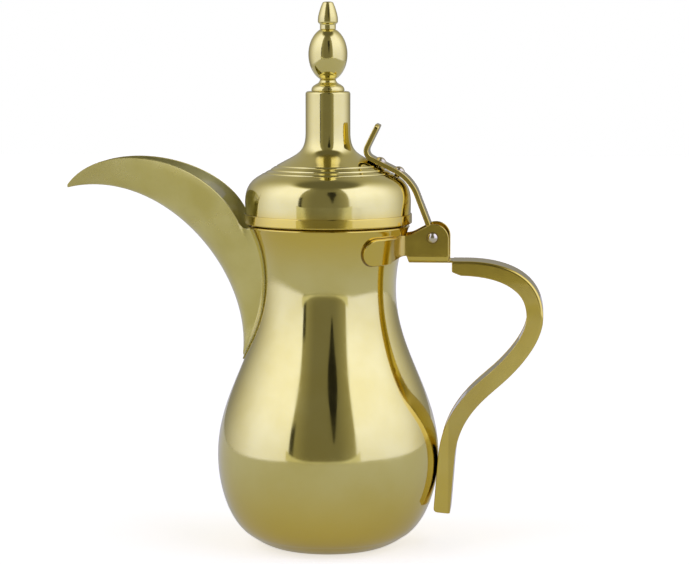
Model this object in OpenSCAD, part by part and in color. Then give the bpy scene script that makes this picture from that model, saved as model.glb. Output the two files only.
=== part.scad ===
// Dallah: a spun brass coffee pot with an open, curved spout, a folded sheet
// handle and a hinged, domed lid that carries a tall finial and a thumb lever.
// Millimetres. The origin is the centre of the flat base. +Z is up, +X points
// to the handle, -X to the spout, and the hinge pin lies along Y.

/* [Body] */
// Thickness of the body's sheet
body_sheet = 1.0; // [0.8:0.1:1.1]
// Outer radius of the mouth's rolled rim
mouth_r = 45; // [44.8:0.1:45.2]
// Height of the mouth's rim
mouth_z = 178; // [177.8:0.1:178.2]
// Outer radius of the neck at its narrowest
neck_r = 37.6; // [37:0.1:38]
// Height of the narrowest ring of the neck
neck_z = 142.7; // [141:0.1:144]
// Outer radius of the belly at its widest
belly_r = 61.4; // [61:0.1:61.5]
// Height of the widest ring of the belly
belly_z = 50; // [48:0.5:52]
// Radius of the blunt corner under the belly
corner_r = 43.5; // [42:0.1:45]
// Height of that corner
corner_z = 5.5; // [5:0.1:6]
// Outer radius of the flat ring that the pot stands on
foot_r = 33; // [32:0.1:34]

/* [Strainer] */
// Diameter of each hole in the neck behind the spout
strainer_hole_d = 4.4; // [3:0.1:5]
// Number of rows of holes
strainer_rows = 5; // [3:1:5]
// Distance between neighbouring holes
strainer_pitch = 8; // [7:0.5:8]

/* [Spout] */
// Thickness of the spout's sheet
spout_sheet = 0.9; // [0.7:0.1:1.1]
// Half of the spout's width at the mouth
spout_half_w = 21; // [20:0.5:21.5]
// Depth of the hollow curve in which the walls end at the neck
spout_root_curve = 9.2; // [8.8:0.1:9.4]
// Width of the flange beyond the bend
spout_flange = 1.4; // [1:0.1:2]

/* [Lid] */
// Thickness of the lid's sheet
lid_sheet = 1.0; // [0.8:0.1:1.1]
// Outer radius of the dome's upright wall
dome_r = 45.7; // [45.5:0.1:45.8]
// Outer radius of the hemmed band at the lid's edge
band_r = 46.3; // [46.2:0.1:46.4]
// Height of the band
band_h = 5.4; // [5:0.1:6]
// Outer radius of the chimney on top of the dome
chimney_r = 12.3; // [12:0.1:12.5]
// Height of the chimney's flat top
chimney_z = 251.2; // [250.5:0.1:251.5]
// Gap between the closed lid and the mouth
lid_gap = 0.8; // [0.6:0.1:0.9]
// Outer radius of the collar that reaches into the mouth
collar_r = 40.4; // [39:0.1:40.5]

/* [Finial] */
// Radius of the bulb
bulb_r = 10.7; // [10:0.1:11]
// Radius of the threaded rod that holds the finial together
stud_r = 2; // [1.8:0.1:2]

/* [Hinge] */
// Radius of the hinge pin
pin_r = 2.2; // [2:0.1:2.3]
// Radial play between the pin and the lever's eye
pin_play = 0.07; // [0.05:0.01:0.09]
// Place of the pin's axis along X
pin_x = 58.2; // [58:0.1:58.4]
// Height of the pin's axis
pin_z = 172; // [171.8:0.1:172.2]
// Radius of the pin's domed heads
pin_head_r = 2.9; // [2.7:0.1:3.2]
// Width of the lever strip
lever_w = 17; // [15:0.5:18]
// Thickness of the lever strip
lever_t = 2.6; // [2.4:0.1:2.7]

/* [Handle] */
// Thickness of the bracket's and the handle's sheet
strap_sheet = 1.3; // [1.1:0.1:1.4]
// Width across the ears and the handle
strap_w = 24; // [23.5:0.5:25]
// Depth of the handle's channel
handle_depth = 9.2; // [9:0.1:9.3]
// Height of the pads that lie on the neck
pad_h = 14.7; // [14:0.1:15]
// Thickness of the pads
pad_t = 2.2; // [1.8:0.1:2.4]

/* [Hidden] */
$fn = 96;
brass = [0.80, 0.70, 0.36];
steel = [0.78, 0.78, 0.76];
eps = 0.01;

// ---- Curves and outlines ----

// A cubic Bezier curve from a to d, as n + 1 points.
function bezier(a, b, c, d, n) = [
    for (i = [0:n])
        let (t = i / n, s = 1 - t)
        s * s * s * a + 3 * s * s * t * b + 3 * s * t * t * c + t * t * t * d
];

// The corner b of a path a-b-c, rounded by a curve that starts d before it.
function bezier_corner(a, b, c, d, n) =
    let (
        p = b + d * (a - b) / norm(a - b),
        q = b + d * (c - b) / norm(c - b)
    )
    bezier(p, p + (b - p) * 0.6, q + (b - q) * 0.6, q, n);

// Two paths as one, where the second starts at the first one's end.
function joined(a, b) = concat(a, [for (i = [1:len(b) - 1]) b[i]]);
function reversed(path) = [for (i = [len(path) - 1:-1:0]) path[i]];

// Unit normal on the right-hand side of a path at point i.
function right_of(path, i) =
    let (
        a = path[max(i - 1, 0)],
        b = path[min(i + 1, len(path) - 1)],
        e = (b - a) / norm(b - a)
    )
    [e[1], -e[0]];

// The path moved to its right by d, or by d[i] where d is a list.
function moved(path, d) = [
    for (i = [0:len(path) - 1]) path[i] + (is_list(d) ? d[i] : d) * right_of(path, i)
];

// The outline of a strip with thickness t, centred on a path.
function strip(path, t) = concat(moved(path, t / 2), reversed(moved(path, -t / 2)));

// A circle's arc of radius r about c, from angle a0 to a1, as n + 1 points.
function arc(c, r, a0, a1, n) = [
    for (i = [0:n]) let (a = a0 + (a1 - a0) * i / n) c + r * [cos(a), sin(a)]
];

// ---- Body ----

corner = [corner_r, corner_z];
// The body's outer outline as [radius, height], from the mouth to the foot.
body_side = joined(
    joined(
        bezier(
            [mouth_r - 0.3, mouth_z - 1.6], [mouth_r - 4.9, mouth_z - 12],
            [neck_r, neck_z + 11.5], [neck_r, neck_z], 10
        ),
        bezier(
            [neck_r, neck_z], [neck_r, neck_z - 36],
            [belly_r, belly_z + 36], [belly_r, belly_z], 18
        )
    ),
    joined(
        bezier([belly_r, belly_z], [belly_r, belly_z - 19], corner + [11, 6.2], corner, 12),
        bezier(corner, corner + [-3, -2.2], [foot_r + 3.5, 1], [foot_r, 0], 4)
    )
);
side_table = [for (p = body_side) [p[1], p[0]]];

// Outer radius of the body at height z.
function body_r(z) = lookup(z, side_table);

foot_in_r = foot_r - 5;
rim_bead_r = 0.9;
rim_bead_centre = [mouth_r - rim_bead_r, mouth_z - rim_bead_r];

module strainer_holes() {
    first_z = neck_z + 8.5 - strainer_pitch * (strainer_rows - 1) / 2;
    for (row = [0:strainer_rows - 1]) {
        count = row % 2 == 0 ? 2 : 3;
        for (k = [0:count - 1])
            translate([-60, (k - (count - 1) / 2) * strainer_pitch, first_z + row * strainer_pitch])
                rotate([0, 90, 0]) cylinder(d = strainer_hole_d, h = 45);
    }
}

module body_shell() {
    inside = moved(body_side, body_sheet);
    color(brass) difference() {
        rotate_extrude() polygon(concat(
            arc(rim_bead_centre, rim_bead_r, 205, -35, 12), body_side,
            [[foot_in_r, 0], [foot_in_r, body_sheet]],
            reversed([for (i = [1:len(inside) - 1]) inside[i]])
        ));
        strainer_holes();
    }
}

// Disc that closes the body: its edge lies on the turned-in foot, and its
// middle is pressed down level with it.
module base_plate() {
    sheet = body_sheet;
    plate_r = foot_r - 1.5;
    flat_r = foot_in_r - 1.5;
    color(brass) rotate_extrude() polygon([
        [0, 0], [flat_r, 0], [flat_r + 1, sheet], [plate_r, sheet],
        [plate_r, 2 * sheet], [flat_r + 0.5, 2 * sheet], [flat_r - 0.5, sheet], [0, sheet]
    ]);
}

// ---- Spout ----

// Side views of the spout's keel and of its top edge as [x, z], tip first.
spout_steps = 20;
keel_line = bezier(
    [-145.5, 197.5], [-93.2, 210.1], [-42.4, 153.4], [-47.6, 105.8], spout_steps
);
edge_line = joined(
    bezier([-145.6, 199], [-126.7, 223.7], [-70.2, 218.3], [-49.4, 185.6], spout_steps - 4),
    bezier([-49.4, 185.6], [-46.9, 181.6], [-46, 176.9], [-42.1, 176.5], 4)
);
wall_rows = 9;
bend_steps = 4;
spout_gap = 0.06;

// How far up the wall row j lies, from 0 at the keel to 1 at the edge.
function row_up(j) = pow(j / wall_rows, 1.5);
lean_angle = 70;
// Half width at height u of the wall, as a share of that at the edge. The wall
// still leans outwards a little at its edge.
function wall_bow(u) = sin(lean_angle * pow(u, 0.6)) / sin(lean_angle);
tip_half_w = 0.6;
belly_out = 5;
// Half width of the edge at step i along the spout. It is widest before the
// mouth, where it bellies out.
function edge_half(i) =
    let (s = i / spout_steps)
    spout_half_w * sin(90 * pow(s, 0.8)) + tip_half_w * (1 - s) + belly_out * sin(180 * pow(s, 2.2));

// A point of the wall at step i and row j, moved inwards by t.
function wall_point(i, j, t) =
    let (
        u = row_up(j),
        k = keel_line[i] - t * right_of(keel_line, i),
        side = k + (edge_line[i] - k) * u,
        root = spout_root_curve * pow(i / spout_steps, 6) * sin(180 * pow(u, 1.2)),
        half = edge_half(i) * wall_bow(u)
    )
    [side[0] + root, -max(half - t * min(1, 3 * u), 0), side[1]];

// Where the flange leads away from the root at row j: down at the keel,
// sideways above it. The value is the share that leads down.
function down_share(j) = pow(max(0, 1 - row_up(j) / 0.2), 2);

// A point of the flange, a away from the axis on a circle about the pot.
function on_body(angle, z, out) =
    let (r = body_r(z) + out)
    [-r * cos(angle), -r * sin(angle), z];

// The bend and flange beyond the root at row j and step m, moved out by t.
function flange_point(m, j, t) =
    let (
        c = wall_point(spout_steps, j, t == 0 ? spout_sheet : 0),
        out = spout_gap + (t == 0 ? 0 : spout_sheet),
        r = body_r(c[2]) + out,
        w = -c[1],
        foot = asin(w / r),
        lead = max(0.5, -c[0] - r * cos(foot)) + 0.8,
        down = down_share(j),
        turn = lead / r * 180 / PI * (1 - down),
        land = on_body(foot + turn, c[2] - lead * down, out),
        tail = spout_flange / r * 180 / PI * (1 - down),
        last = on_body(foot + turn + tail, c[2] - (lead + spout_flange) * down, out),
        hinge_x = -(r - w * sin(foot + turn)) / cos(foot + turn),
        q = [hinge_x, c[1], c[2] - lead * down / 2],
        s = m / bend_steps
    )
    m > bend_steps ? last : (1 - s) * (1 - s) * c + 2 * s * (1 - s) * q + s * s * land;

// One wall is a grid of columns along the spout and rows from keel to edge.
spout_columns = spout_steps + bend_steps + 2;
function grid_point(c, j, outer) =
    c <= spout_steps
        ? wall_point(c, j, outer ? 0 : spout_sheet)
        : flange_point(c - spout_steps, j, outer ? 1 : 0);
function grid_index(c, j, outer) =
    (outer ? 0 : spout_columns * (wall_rows + 1)) + c * (wall_rows + 1) + j;
function grid_quad(a, b, c, d) = [[a, b, c], [a, c, d]];

module spout_wall() {
    last = spout_columns - 1;
    points = [
        for (outer = [true, false], c = [0:last], j = [0:wall_rows]) grid_point(c, j, outer)
    ];
    skins = [
        for (c = [0:last - 1], j = [0:wall_rows - 1], outer = [true, false])
            let (
                p = grid_index(c, j, outer),
                q = grid_index(c + 1, j, outer),
                r = grid_index(c + 1, j + 1, outer),
                s = grid_index(c, j + 1, outer)
            )
            each outer ? grid_quad(p, s, r, q) : grid_quad(p, q, r, s)
    ];
    long_edges = [
        for (c = [0:last - 1], j = [0, wall_rows])
            let (
                p = grid_index(c, j, true),
                q = grid_index(c + 1, j, true),
                r = grid_index(c + 1, j, false),
                s = grid_index(c, j, false)
            )
            each j == 0 ? grid_quad(p, q, r, s) : grid_quad(p, s, r, q)
    ];
    end_edges = [
        for (j = [0:wall_rows - 1], c = [0, last])
            let (
                p = grid_index(c, j, true),
                q = grid_index(c, j + 1, true),
                r = grid_index(c, j + 1, false),
                s = grid_index(c, j, false)
            )
            each c == 0 ? grid_quad(p, s, r, q) : grid_quad(p, q, r, s)
    ];
    polyhedron(points, concat(skins, long_edges, end_edges), convexity = 6);
}

module spout_left() {
    color(brass) spout_wall();
}

module spout_right() {
    color(brass) mirror([0, 1, 0]) spout_wall();
}

// ---- Bracket and handle: one folded sheet ----

ear_centre = [pin_x + 0.9, pin_z - 0.6];
ear_arc_r = 8;
ear_front = [45.7, 173.2];
floor_z = 158;
bend_r = 3;

// Side view of an ear and the floor under it.
ear_outline =
    let (
        d = ear_centre - ear_front,
        slope = atan2(d[1], d[0]) + asin(ear_arc_r / norm(d))
    )
    concat(
        [[ear_centre[0] + ear_arc_r, floor_z - 1], [45.5, floor_z - 1], [44, 162], ear_front],
        arc(ear_centre, ear_arc_r, slope + 90, 0, 10)
    );

module bracket_channel() {
    half = strap_w / 2 - strap_sheet / 2;
    low = floor_z + strap_sheet / 2;
    top = pin_z + 12;
    section = concat(
        [[-half, top]], arc([-half + bend_r, low + bend_r], bend_r, 180, 270, 6),
        arc([half - bend_r, low + bend_r], bend_r, 270, 360, 6), [[half, top]]
    );
    difference() {
        intersection() {
            translate([40, 0, 0]) rotate([90, 0, 90])
                linear_extrude(30) polygon(strip(section, strap_sheet));
            translate([0, 20, 0]) rotate([90, 0, 0]) linear_extrude(40) polygon(ear_outline);
        }
        translate([pin_x, 20, pin_z]) rotate([90, 0, 0]) cylinder(r = pin_r, h = 40);
    }
}

// Pad on the neck, by plan angles: beyond its rounded end, the middle of that
// end, the edge of its thick stretch and its last edge.
pad_far_angle = 61;
pad_angle = 47.7;
pad_step_angle = 27;
pad_last_angle = 17;
pad_z = 165.5;
neck_ring = [for (p = body_side) if (p[1] > pad_z - 11 && p[1] < pad_z + 11) p];

// A layer on the neck, t thick, from beyond the pad's end to a plan angle.
module neck_layer(t, last_angle) {
    rotate_extrude(angle = pad_far_angle - last_angle, start = -pad_far_angle)
        polygon(concat(moved(neck_ring, -t), reversed(moved(neck_ring, -eps))));
}

module pad() {
    r = pad_h / 2;
    reach = body_r(pad_z) * sin(pad_angle - pad_last_angle) + 4;
    intersection() {
        union() {
            neck_layer(strap_sheet, pad_last_angle);
            neck_layer(pad_t, pad_step_angle);
        }
        rotate([0, 0, -pad_angle]) translate([0, 0, pad_z]) rotate([90, 0, 90])
            linear_extrude(60) polygon(concat(arc([0, 0], r, 90, 270, 16), [[reach, -r], [reach, r]]));
    }
}

// Plan view of the arm that bends from the pad out to the ear.
arm_line = bezier(
    [35.5, -19.2], [40, -13.6], [42, -strap_w / 2 + strap_sheet / 2],
    [46.4, -strap_w / 2 + strap_sheet / 2], 8
);

module arm() {
    inside_pad = 0.4;
    ring = moved(neck_ring, -inside_pad);
    difference() {
        translate([0, 0, pad_z - pad_h / 2 + 0.1])
            linear_extrude(pad_h - 0.2) polygon(strip(arm_line, strap_sheet));
        rotate_extrude() polygon(concat([[0, ring[0][1]]], ring, [[0, ring[len(ring) - 1][1]]]));
    }
}

// Side view of pad and arm, arched underneath where the arm leaves the neck.
strap_outline = concat(
    [
        [ear_front[0] + 0.2, pad_z + pad_h / 2 + 0.5], [10, pad_z + pad_h / 2 + 0.5],
        [10, pad_z - pad_h / 2 - 0.5]
    ],
    bezier([34.6, pad_z - pad_h / 2 - 0.5], [38, 158.6], [40.2, 162.2], [44.4, 162], 6)
);

module neck_strap() {
    intersection() {
        union() {
            pad();
            arm();
        }
        rotate([90, 0, 0]) linear_extrude(60) polygon(strap_outline);
    }
}

// Outer side of the handle as [x, z], from the bracket to the lower end.
handle_outer = joined(
    joined(
        bezier([68.8, 159.3], [72, 159.3], [75, 159.3], [78, 159.3], 3),
        joined(
            bezier([78, 159.3], [98, 159], [118.8, 152], [118.8, 128.5], 13),
            bezier([118.8, 128.5], [118.8, 115.5], [107.1, 101.4], [96.6, 91.9], 10)
        )
    ),
    joined(
        bezier([96.6, 91.9], [87.1, 83.3], [73.2, 73], [71.1, 52], 12),
        bezier([71.1, 52], [70.2, 43], [69.4, 30], [68.4, 19.3], 6)
    )
);
// Depth of the channel at point i: it starts shallow at the bracket, deepens
// quickly at first and then slowly along X, and is full in the steep stretch.
depth_at_start = 6;
depth_after_start = 7.8;
function channel_depth(i) =
    let (gone = handle_outer[i] - handle_outer[0])
    gone[1] < -10
        ? handle_depth
        : min(handle_depth, depth_at_start + 0.4 * gone[0], depth_after_start + 0.035 * gone[0]);
handle_depths = [for (i = [0:len(handle_outer) - 1]) channel_depth(i)];
liner_start = 3;
liner_t = 1.2;

module side_prism(outline, w) {
    translate([0, w / 2, 0]) rotate([90, 0, 0]) linear_extrude(w) polygon(outline);
}

module handle_channel() {
    last = len(handle_outer) - 1;
    inner = moved(handle_outer, handle_depths);
    deeper = moved(handle_outer, [for (d = handle_depths) d + 2]);
    under_web = moved(handle_outer, strap_sheet);
    difference() {
        side_prism(concat(handle_outer, reversed(inner)), strap_w);
        side_prism(
            concat(
                [under_web[0] + [-2, 0]], [for (i = [0:last - 1]) under_web[i]],
                reversed([for (i = [0:last - 1]) deeper[i]]), [deeper[0] + [-2, 0]]
            ),
            strap_w - 2 * strap_sheet
        );
    }
}

module handle_frame() {
    web_w = strap_w - 2 * bend_r;
    color(brass) union() {
        bracket_channel();
        neck_strap();
        mirror([0, 1, 0]) neck_strap();
        translate([60, -web_w / 2, floor_z]) cube([10, web_w, strap_sheet]);
        handle_channel();
    }
}

// Inner strip that closes the handle's channel between its flanges.
module handle_liner() {
    last = len(handle_outer) - 2;
    face = moved(handle_outer, handle_depths);
    back = moved(handle_outer, [for (d = handle_depths) d - liner_t]);
    color(brass) side_prism(
        concat(
            [for (i = [liner_start:last]) back[i]],
            reversed([for (i = [liner_start:last]) face[i]])
        ),
        strap_w - 2 * strap_sheet
    );
}

// ---- Hinge ----

// Domed head of a pin or rivet: a slice of a ball with radius r and height h.
module domed_head(r, h) {
    ball_r = (r * r + h * h) / (2 * h);
    intersection() {
        translate([0, 0, h - ball_r]) sphere(ball_r);
        cylinder(r = r + 1, h = h + 1);
    }
}

module hinge_pin() {
    half = strap_w / 2;
    color(steel) translate([pin_x, 0, pin_z]) {
        translate([0, half, 0]) rotate([90, 0, 0]) cylinder(r = pin_r, h = strap_w);
        for (s = [-1, 1])
            translate([0, s * half, 0]) rotate([-90 * s, 0, 0]) domed_head(pin_head_r, 1.5);
    }
}

// The lever's centre line in side view: tab, riveted stretch, then the eye.
tab_end = [28, 233.3];
tab_corner = [19.9, 216.8];
knee = [45.8, 203.9];
eye = [pin_x, pin_z];
eye_r = 4.5;
rivet_x = [28.9, 39.1];
rivet_axis = knee - tab_corner;
rivet_tilt = -atan2(rivet_axis[1], rivet_axis[0]);
rivet_r = 1.5;
rivet_head_r = 3.1;
rivet_tail_r = 2.8;

// Point of the riveted stretch at x, on the strip's centre line.
function on_lever(x) = tab_corner + rivet_axis * (x - tab_corner[0]) / rivet_axis[0];

module at_rivet(x) {
    p = on_lever(x);
    translate([p[0], 0, p[1]]) rotate([0, rivet_tilt, 0]) children();
}

module lid_lever() {
    centre_line = concat(
        [tab_end],
        bezier_corner(tab_end, tab_corner, knee, 5, 6),
        bezier_corner(tab_corner, knee, eye, 9, 10),
        [eye + (knee - eye) * 0.08]
    );
    color(brass) difference() {
        union() {
            side_prism(strip(centre_line, lever_t), lever_w);
            translate([pin_x, lever_w / 2, pin_z]) rotate([90, 0, 0]) cylinder(r = eye_r, h = lever_w);
        }
        translate([pin_x, 20, pin_z]) rotate([90, 0, 0]) cylinder(r = pin_r + pin_play, h = 40);
        for (x = rivet_x) at_rivet(x) translate([0, 0, -5]) cylinder(r = rivet_r, h = 10);
    }
}

// Each rivet has a domed head on the lever and a flat tail inside the dome.
module lever_rivets() {
    color(steel) for (x = rivet_x) {
        at_rivet(x) {
            translate([0, 0, lever_t / 2]) domed_head(rivet_head_r, 1.7);
            translate([0, 0, -6]) cylinder(r = rivet_r, h = 6 + lever_t / 2 + 0.2);
        }
        intersection() {
            at_rivet(x) translate([0, 0, -6.6]) cylinder(r = rivet_tail_r, h = 6);
            dome_cavity();
        }
    }
}

// ---- Lid ----

band_z = mouth_z + lid_gap;
dome_wall_z = 190.4;
// The dome's outer outline as [radius, height], from the chimney's foot down.
dome_side = joined(
    bezier([chimney_r, 229.1], [chimney_r, 215.5], [18.4, 217.3], [31.2, 208.75], 12),
    bezier([31.2, 208.75], [37.8, 204.3], [dome_r, 203.4], [dome_r, dome_wall_z], 12)
);
dome_table = [for (p = dome_side) [p[0], p[1]]];
groove_r = [28.6, 32, 35];
lid_outer = concat(
    arc([chimney_r - 1.5, chimney_z - 1.5], 1.5, 90, 0, 5), dome_side, [[dome_r - 0.2, band_z + 0.8]]
);
lid_inner = concat(
    [[0, chimney_z - lid_sheet], [chimney_r - 1.5, chimney_z - lid_sheet]],
    moved(concat([[chimney_r, chimney_z - 2]], dome_side, [[dome_r, band_z + 1]]), lid_sheet),
    [[dome_r - lid_sheet - 0.2, band_z + 0.8]]
);

// The hollow under the lid's sheet.
module dome_cavity() {
    rotate_extrude() polygon(concat(lid_inner, [[0, band_z + 0.8]]));
}

module lid_dome() {
    color(brass) difference() {
        rotate_extrude() difference() {
            polygon(concat(lid_outer, reversed(lid_inner), [[0, chimney_z]]));
            for (r = groove_r)
                translate([r, lookup(r, dome_table) + 0.25]) circle(0.6, $fn = 24);
        }
        translate([0, 0, chimney_z - 5]) cylinder(r = stud_r, h = 10);
        for (x = rivet_x) at_rivet(x) translate([0, 0, -8]) cylinder(r = rivet_r, h = 10);
    }
}

// Hemmed band: an upright ring whose lower lip turns in under the dome's wall.
module lid_band() {
    lip_in = dome_r - 2.6;
    z0 = band_z;
    z1 = band_z + band_h;
    color(brass) rotate_extrude() polygon(concat(
        [[lip_in, z0]], arc([band_r - 0.7, z0 + 0.7], 0.7, 270, 360, 4),
        [[band_r, z1 - 0.3], [band_r - 0.3, z1], [dome_r, z1], [dome_r - 0.2, z0 + 0.8], [lip_in, z0 + 0.8]]
    ));
}

// Collar that centres the lid in the mouth, with a flange above the band's lip.
module lid_collar() {
    sheet = 0.9;
    flange_r = dome_r - lid_sheet - 0.3;
    z1 = band_z + 0.8 + sheet;
    low = mouth_z - 8;
    color(brass) rotate_extrude() polygon([
        [collar_r - sheet, low], [collar_r, low], [collar_r, z1 - sheet], [flange_r, z1 - sheet],
        [flange_r, z1], [collar_r - sheet, z1]
    ]);
}

// ---- Finial ----

bulb_z = 271.3;
bulb_half_h = 14.8;
bulb_cut = 13.7;
tip_z = 300;
nut_z = chimney_z - 5.2;

// Domed foot of the finial on the chimney.
module finial_base() {
    top = bulb_z - bulb_cut;
    color(brass) difference() {
        rotate_extrude() polygon(concat(
            [[0, chimney_z], [8.8, chimney_z]],
            bezier(
                [9.1, chimney_z + 0.4], [9.1, chimney_z + 3.8],
                [5.2, chimney_z + 3.8], [4.9, chimney_z + 5.2], 8
            ),
            [[4.5, top - 0.8], [4.5, top], [0, top]]
        ));
        translate([0, 0, chimney_z - 1]) cylinder(r = stud_r, h = 20);
    }
}

module finial_bulb() {
    steps = 20;
    side = [
        for (i = [0:steps])
            let (z = -bulb_cut + 2 * bulb_cut * i / steps)
            [bulb_r * sqrt(1 - pow(z / bulb_half_h, 2)), bulb_z + z]
    ];
    color(brass) difference() {
        rotate_extrude() polygon(concat([[0, bulb_z - bulb_cut]], side, [[0, bulb_z + bulb_cut]]));
        translate([0, 0, bulb_z - 20]) cylinder(r = stud_r, h = 40);
    }
}

// Pointed top with a short neck, tapped to take the rod.
module finial_tip() {
    low = bulb_z + bulb_cut;
    color(brass) difference() {
        rotate_extrude() polygon(concat(
            [[0, low], [4.4, low], [4.3, low + 2.6], [5.5, low + 3.6], [5.5, low + 5.6]],
            bezier([5.4, low + 6.6], [4.9, low + 9.5], [3.6, low + 13], [3.1, tip_z - 1], 6),
            bezier([3, tip_z - 0.8], [2.8, tip_z - 0.2], [1.8, tip_z], [0, tip_z], 5)
        ));
        translate([0, 0, low - 1]) cylinder(r = stud_r, h = 8);
    }
}

module finial_stud() {
    end_z = nut_z - 1.5;
    color(steel) translate([0, 0, end_z]) cylinder(r = stud_r, h = bulb_z + bulb_cut + 6.5 - end_z);
}

module finial_washer() {
    color(steel) translate([0, 0, nut_z + 3.2]) difference() {
        cylinder(r = 4.5, h = 1);
        translate([0, 0, -1]) cylinder(r = stud_r, h = 3);
    }
}

module finial_nut() {
    across_flats = 7;
    color(steel) translate([0, 0, nut_z]) difference() {
        cylinder(r = across_flats / 2 / cos(30), h = 3.2, $fn = 6);
        translate([0, 0, -1]) cylinder(r = stud_r, h = 6);
    }
}

body_shell();
base_plate();
spout_left();
spout_right();
handle_frame();
handle_liner();
hinge_pin();
lid_dome();
lid_band();
lid_collar();
lid_lever();
lever_rivets();
finial_base();
finial_bulb();
finial_tip();
finial_stud();
finial_washer();
finial_nut();
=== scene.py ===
import math

import bmesh
import bpy
import numpy as np
from mathutils import Matrix, Vector
from mathutils.geometry import delaunay_2d_cdt


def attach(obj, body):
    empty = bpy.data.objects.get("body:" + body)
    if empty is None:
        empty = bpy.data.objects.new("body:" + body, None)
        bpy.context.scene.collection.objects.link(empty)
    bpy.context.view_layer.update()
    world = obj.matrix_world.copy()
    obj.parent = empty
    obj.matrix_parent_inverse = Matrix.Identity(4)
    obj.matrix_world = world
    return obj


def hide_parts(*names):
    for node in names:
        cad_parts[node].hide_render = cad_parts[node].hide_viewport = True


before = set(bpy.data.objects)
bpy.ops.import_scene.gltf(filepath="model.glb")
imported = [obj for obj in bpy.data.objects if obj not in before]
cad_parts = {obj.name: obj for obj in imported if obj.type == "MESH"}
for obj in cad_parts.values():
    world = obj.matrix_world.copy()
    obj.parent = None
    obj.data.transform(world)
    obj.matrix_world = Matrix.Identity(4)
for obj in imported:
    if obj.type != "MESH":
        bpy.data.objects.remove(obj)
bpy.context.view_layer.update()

# Looks of the brass coffee pot. Shapes are worked out in millimetres, in the
# CAD frame: +Z up, +X to the handle, -X to the spout, Y along the hinge pin.
MM = 0.001
scene = bpy.context.scene


# ---- Plane curves ----

def bezier(a, b, c, d, n):
    """A cubic Bezier curve from a to d, as n + 1 points."""
    t = np.linspace(0, 1, n + 1)[:, None]
    a, b, c, d = (np.array(p, float) for p in (a, b, c, d))
    return (1 - t) ** 3 * a + 3 * (1 - t) ** 2 * t * b + 3 * (1 - t) * t ** 2 * c + t ** 3 * d


def arc(centre, radius, start, end, n):
    """A circle's arc from one angle to another, in degrees, as n + 1 points."""
    angles = np.radians(np.linspace(start, end, n + 1))
    return np.array(centre, float) + radius * np.stack([np.cos(angles), np.sin(angles)], 1)


def chain(*paths):
    """Paths one after another, without the points that repeat."""
    points = np.concatenate([np.array(p, float).reshape(-1, 2) for p in paths])
    keep = np.ones(len(points), bool)
    keep[1:] = np.linalg.norm(np.diff(points, axis=0), axis=1) > 1e-6
    return points[keep]


def right_normals(points, closed=False):
    """Unit normals on the right-hand side of a path."""
    if closed:
        step = np.roll(points, -1, 0) - np.roll(points, 1, 0)
    else:
        first, last = points[1:2] - points[:1], points[-1:] - points[-2:-1]
        step = np.concatenate([first, points[2:] - points[:-2], last])
    step = step / np.linalg.norm(step, axis=1)[:, None]
    return np.stack([step[:, 1], -step[:, 0]], 1)


def moved(points, d):
    """The path moved to its right by d, a number or one for each point."""
    return points + np.reshape(d, (-1, 1)) * right_normals(points)


class Line:
    """A plane curve through dense points, read by the distance along it."""

    def __init__(self, points):
        self.points = np.array(points, float)
        gaps = np.linalg.norm(np.diff(self.points, axis=0), axis=1)
        self.along = np.concatenate([[0], np.cumsum(gaps)])
        self.normals = right_normals(self.points)
        self.length = self.along[-1]

    def at(self, s):
        return np.array([np.interp(s, self.along, self.points[:, k]) for k in (0, 1)])

    def right(self, s):
        n = np.array([np.interp(s, self.along, self.normals[:, k]) for k in (0, 1)])
        return n / np.linalg.norm(n)


def softened(points, corners, steps=4):
    """A closed outline whose corners are rounded: corners maps a point's place
    in the list to the length that its rounding takes off on each side."""
    points = np.array(points, float)
    n = len(points)
    size = np.linalg.norm(np.roll(points, -1, 0) - points, axis=1)
    gone, made = set(), {}
    for c, d in corners.items():
        ends = []
        for way in (-1, 1):
            left, i = d, c
            while True:
                gap = size[i % n] if way == 1 else size[(i - 1) % n]
                j = (i + way) % n
                if left <= gap:
                    ends.append(points[i % n] + (points[j] - points[i % n]) * left / gap)
                    break
                left -= gap
                gone.add(j)
                i = j
        p, q, v = ends[0], ends[1], points[c]
        made[c] = bezier(p, p + 0.6 * (v - p), q + 0.6 * (v - q), q, steps)
    rows = []
    for i in range(n):
        if i in made:
            rows.extend(made[i])
        elif i not in gone:
            rows.append(points[i])
    return np.array(rows)


def spaced(outline, step):
    """A closed outline with points added, so that none lies further than step from the next."""
    rows = []
    for a, b in zip(outline, np.roll(outline, -1, 0)):
        count = max(1, math.ceil(np.linalg.norm(b - a) / step))
        rows.extend(a + (b - a) * k / count for k in range(count))
    return np.array(rows)


# ---- Meshes ----

def lathe(outline, steps=192):
    """Points, faces and normals of a closed [radius, height] outline turned about Z."""
    outline = np.array(outline, float)
    x, y = outline[:, 0], outline[:, 1]
    if np.sum(x * np.roll(y, -1) - np.roll(x, -1) * y) < 0:
        outline = outline[::-1]
    normals = right_normals(outline, closed=True)
    turn = np.linspace(0, 2 * math.pi, steps, endpoint=False)
    points, point_normals, rings = [], [], []
    for (r, z), (nr, nz) in zip(outline, normals):
        first = len(points)
        if r < 1e-6:
            points.append((0, 0, z))
            point_normals.append((0, 0, math.copysign(1, nz)))
            rings.append([first] * steps)
            continue
        for t in turn:
            points.append((r * math.cos(t), r * math.sin(t), z))
            point_normals.append((nr * math.cos(t), nr * math.sin(t), nz))
        rings.append(list(range(first, first + steps)))
    faces = []
    for low, high in zip(rings, rings[1:] + rings[:1]):
        for k in range(steps):
            m = (k + 1) % steps
            face = list(dict.fromkeys([low[k], low[m], high[m], high[k]]))
            if len(face) > 2:
                faces.append(face)
    return np.array(points), faces, np.array(point_normals)


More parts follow.
